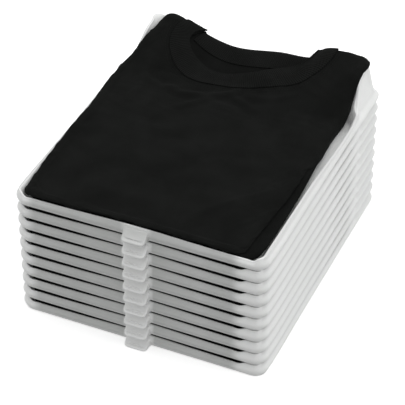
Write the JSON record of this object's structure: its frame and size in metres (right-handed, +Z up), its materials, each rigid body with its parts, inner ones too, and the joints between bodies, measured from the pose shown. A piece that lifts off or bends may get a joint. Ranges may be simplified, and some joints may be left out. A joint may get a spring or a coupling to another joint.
{
  "type": "shirt folding board stack",
  "caption": "Stack of nesting moulded shirt folding boards with front pull tabs, each holding a folded T-shirt and lifting from the front.",
  "frame": {"origin": "on the surface the stack stands on, under the middle of the whole stack, tabs included", "axes": "+X to the right across the boards, +Y from the pull tabs towards the rear ears, +Z up"},
  "size_m": [0.25, 0.3076, 0.1746],
  "materials": {
    "board_plastic": "translucent white polypropylene, satin moulded surface",
    "shirt_jersey": "black cotton jersey with a ribbed collar"
  },
  "bodies": {
    "board_01": {"folding_board_01": "board_plastic", "folded_shirt_01": "shirt_jersey"},
    "board_02": {"folding_board_02": "board_plastic", "folded_shirt_02": "shirt_jersey"},
    "board_03": {"folding_board_03": "board_plastic", "folded_shirt_03": "shirt_jersey"},
    "board_04": {"folding_board_04": "board_plastic", "folded_shirt_04": "shirt_jersey"},
    "board_05": {"folding_board_05": "board_plastic", "folded_shirt_05": "shirt_jersey"},
    "board_06": {"folding_board_06": "board_plastic", "folded_shirt_06": "shirt_jersey"},
    "board_07": {"folding_board_07": "board_plastic", "folded_shirt_07": "shirt_jersey"},
    "board_08": {"folding_board_08": "board_plastic", "folded_shirt_08": "shirt_jersey"},
    "board_09": {"folding_board_09": "board_plastic", "folded_shirt_09": "shirt_jersey"},
    "board_10": {"folding_board_10": "board_plastic"},
    "top_shirt": {"folded_shirt_10": "shirt_jersey"}
  },
  "joints": [
    {"name": "lift_board_02", "type": "hinge", "parent": "board_01", "child": "board_02", "pos_m": [0, 0.15155, 0.0139], "axis": [-1, 0, 0], "range_deg": [0, 20]},
    {"name": "lift_board_03", "type": "hinge", "parent": "board_02", "child": "board_03", "pos_m": [0, 0.15155, 0.0278], "axis": [-1, 0, 0], "range_deg": [0, 20]},
    {"name": "lift_board_04", "type": "hinge", "parent": "board_03", "child": "board_04", "pos_m": [0, 0.15155, 0.0417], "axis": [-1, 0, 0], "range_deg": [0, 20]},
    {"name": "lift_board_05", "type": "hinge", "parent": "board_04", "child": "board_05", "pos_m": [0, 0.15155, 0.0556], "axis": [-1, 0, 0], "range_deg": [0, 20]},
    {"name": "lift_board_06", "type": "hinge", "parent": "board_05", "child": "board_06", "pos_m": [0, 0.15155, 0.0695], "axis": [-1, 0, 0], "range_deg": [0, 20]},
    {"name": "lift_board_07", "type": "hinge", "parent": "board_06", "child": "board_07", "pos_m": [0, 0.15155, 0.0834], "axis": [-1, 0, 0], "range_deg": [0, 20]},
    {"name": "lift_board_08", "type": "hinge", "parent": "board_07", "child": "board_08", "pos_m": [0, 0.15155, 0.0973], "axis": [-1, 0, 0], "range_deg": [0, 20]},
    {"name": "lift_board_09", "type": "hinge", "parent": "board_08", "child": "board_09", "pos_m": [0, 0.15155, 0.1112], "axis": [-1, 0, 0], "range_deg": [0, 20]},
    {"name": "lift_board_10", "type": "hinge", "parent": "board_09", "child": "board_10", "pos_m": [0, 0.15155, 0.1251], "axis": [-1, 0, 0], "range_deg": [0, 20]},
    {"name": "lift_top_shirt", "type": "slide", "parent": "board_10", "child": "top_shirt", "axis": [0, 0, 1], "range_m": [0, 0.1]}
  ]
}
